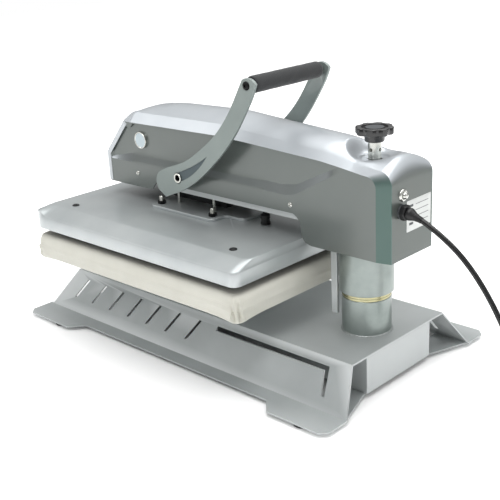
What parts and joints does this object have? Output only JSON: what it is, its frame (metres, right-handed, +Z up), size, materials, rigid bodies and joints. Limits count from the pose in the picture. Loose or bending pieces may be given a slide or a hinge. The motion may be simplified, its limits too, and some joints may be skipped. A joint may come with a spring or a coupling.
{
  "type": "swing-away heat press",
  "caption": "Benchtop swing-away heat press: a heated plate on a swivelling arm closes on a padded, cloth-covered platen by a lever.",
  "frame": {"origin": "on the floor, below the middle of the machine's outline without its mains lead", "axes": "+Z up; the operator stands on the -Y side; +X is the operator's right"},
  "size_m": [0.438, 1.073, 0.4758],
  "materials": {
    "base_paint": "satin powder coat, silver grey",
    "arm_paint": "metallic silver-grey paint",
    "platen_paint": "metallic silver paint",
    "steel": "turned steel",
    "zinc": "zinc-plated steel",
    "brass": "turned brass",
    "black_steel": "black oxide",
    "aluminium": "cast aluminium",
    "rubber": "black rubber",
    "foam": "dark grey foam",
    "silicone": "silicone foam sheet",
    "cloth": "undyed cotton cover",
    "board": "insulating board",
    "pcb": "printed circuit board",
    "black_plastic": "moulded black plastic",
    "grey_plastic": "moulded grey plastic",
    "light_plastic": "light silver moulding",
    "display": "dark display window",
    "label": "printed foil plate",
    "cable": "PVC sheath"
  },
  "bodies": {
    "base": {"base_shell": "base_paint", "base_channel": "base_paint", "cross_straps": "base_paint", "rubber_feet": "rubber", "column_lower": "base_paint", "thrust_ring": "brass", "pivot_spindle": "steel", "swing_stop_peg": "zinc", "platen_pedestal": "base_paint", "lower_platen_tray": "base_paint", "silicone_pad": "silicone", "platen_cloth_cover": "cloth"},
    "arm": {"column_sleeve": "arm_paint", "spindle_bushes": "brass", "swing_stop_bar": "base_paint", "guide_plate": "black_steel", "guide_block": "black_steel", "lift_springs": "steel", "arm_beam": "base_paint", "arm_cover": "arm_paint", "front_bezel": "light_plastic", "control_panel": "grey_plastic", "display_window": "display", "controller_board": "pcb", "power_switch_body": "black_plastic", "cover_screws": "zinc", "side_badges": "label", "rear_label": "label", "breaker_body": "zinc", "cable_gland": "black_plastic", "strain_relief": "cable", "power_cord": "cable", "cord_coil": "cable", "power_plug": "cable"},
    "platen": {"upper_platen_cover": "platen_paint", "heat_platen": "aluminium", "heater_pad": "black_steel", "insulation_board": "board", "screw_caps": "black_plastic", "mount_bracket": "platen_paint", "bracket_studs": "zinc", "heater_lead": "black_plastic", "press_shaft": "steel", "guide_pins": "zinc"},
    "handle": {"handle_plate_right": "platen_paint", "handle_plate_left": "platen_paint", "pivot_shaft": "black_steel", "pivot_spacers": "steel", "press_cam": "steel", "grip_rod": "steel", "grip_sleeve": "foam", "grip_screws": "zinc"},
    "knob": {"pressure_knob": "black_plastic", "knob_collar": "zinc", "pressure_screw": "steel"},
    "breaker": {"breaker_button": "zinc"},
    "rocker": {"power_rocker": "black_plastic"},
    "key_down": {"button_down": "black_plastic"},
    "key_mode": {"button_mode": "black_plastic"},
    "key_up": {"button_up_key": "black_plastic"}
  },
  "joints": [
    {"name": "arm_swing", "type": "hinge", "parent": "base", "child": "arm", "pos_m": [0, 0.2742, 0.14], "axis": [0, 0, 1], "range_deg": [-110, 0]},
    {"name": "handle_swing", "type": "hinge", "parent": "arm", "child": "handle", "pos_m": [0, -0.0549, 0.2909], "axis": [1, 0, 0], "range_deg": [0, 105]},
    {"name": "platen_travel", "type": "slide", "parent": "arm", "child": "platen", "axis": [0, 0, -1], "range_m": [0, 0.012], "deforming": ["lift_springs"]},
    {"name": "knob_turn", "type": "hinge", "parent": "arm", "child": "knob", "pos_m": [0, 0.2912, 0.39], "axis": [0, 0, 1], "continuous": true},
    {"name": "breaker_reset", "type": "slide", "parent": "arm", "child": "breaker", "axis": [0, -1, 0], "range_m": [0, 0.003], "stiffness_N_per_m": 800, "springref_m": -0.001},
    {"name": "power_toggle", "type": "hinge", "parent": "arm", "child": "rocker", "pos_m": [0, -0.2788, 0.271], "axis": [1, 0, 0], "range_deg": [0, 10]},
    {"name": "key_down_press", "type": "slide", "parent": "arm", "child": "key_down", "axis": [0, 0.7471, -0.6647], "range_m": [0, 0.0015], "stiffness_N_per_m": 600, "springref_m": -0.0005},
    {"name": "key_mode_press", "type": "slide", "parent": "arm", "child": "key_mode", "axis": [0, 0.7471, -0.6647], "range_m": [0, 0.0015], "stiffness_N_per_m": 600, "springref_m": -0.0005},
    {"name": "key_up_press", "type": "slide", "parent": "arm", "child": "key_up", "axis": [0, 0.7471, -0.6647], "range_m": [0, 0.0015], "stiffness_N_per_m": 600, "springref_m": -0.0005}
  ],
  "couplings": [
    {"joint": "platen_travel", "follows": "handle_swing", "m_per_rad": 0.0065481}
  ]
}
